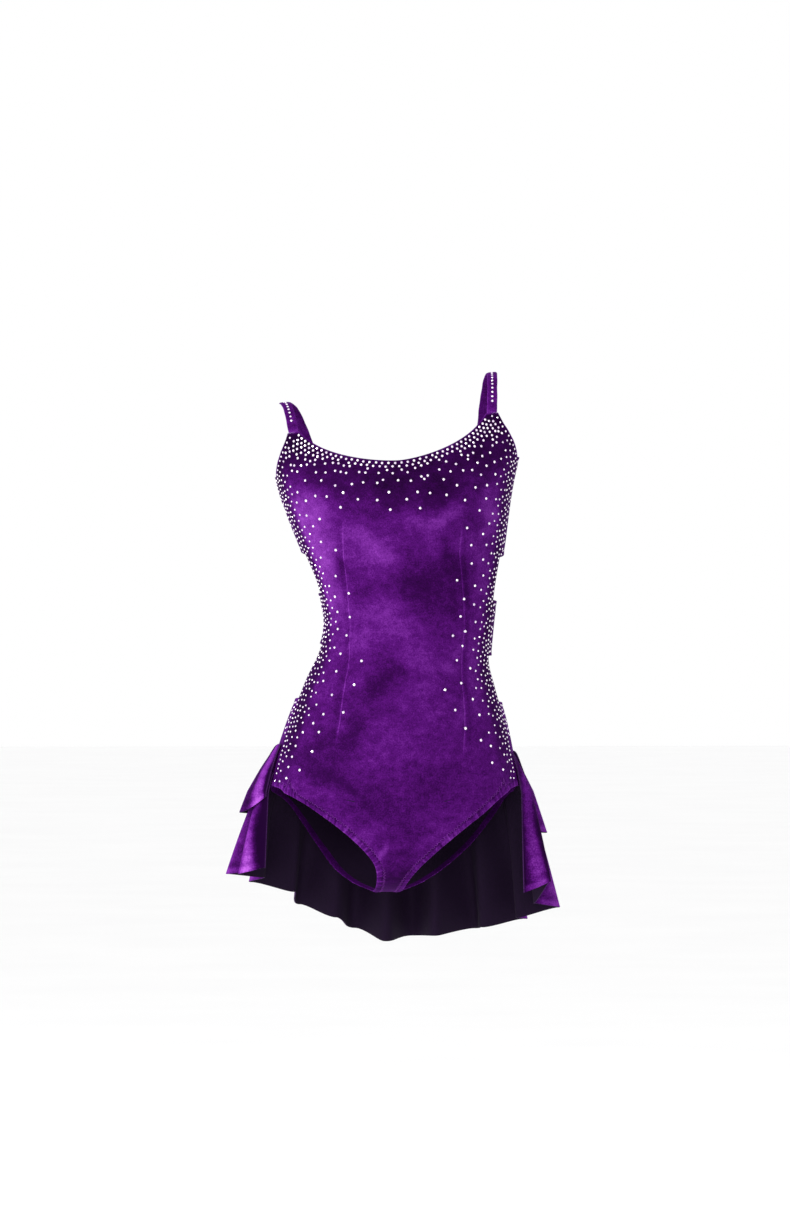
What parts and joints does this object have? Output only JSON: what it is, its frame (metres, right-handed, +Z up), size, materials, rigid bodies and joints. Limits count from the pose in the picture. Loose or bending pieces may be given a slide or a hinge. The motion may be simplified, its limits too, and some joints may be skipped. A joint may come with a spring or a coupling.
{
  "type": "latin dance dress",
  "caption": "Deep purple velvet Latin dance leotard with narrow straps, an open back with two bands, high-cut legs and a two-tier ruffled back skirt, in its worn hollow form.",
  "frame": {"origin": "midway between the tops of the two shoulder straps, where the dress hangs from the wearer's shoulders", "axes": "+Z up along the wearer, the front of the dress faces -Y, +X is the wearer's left side"},
  "size_m": [0.4207, 0.2984, 0.7194],
  "materials": {
    "body_velvet": "stretch velvet, deep purple, soft nap",
    "ruffle_velvet": "stretch velvet, bright purple sheen on the folds",
    "strap_velvet": "stretch velvet, sewn over elastic",
    "rhinestone": "clear cut stones with foil backs",
    "thread": "polyester sewing thread"
  },
  "bodies": {
    "root": {"front_panel": "body_velvet", "seat_panel": "body_velvet", "upper_back_band": "body_velvet", "waist_back_band": "body_velvet", "strap_left": "strap_velvet", "strap_right": "strap_velvet", "ruffle_upper": "ruffle_velvet", "ruffle_lower": "ruffle_velvet"}
  },
  "joints": []
}
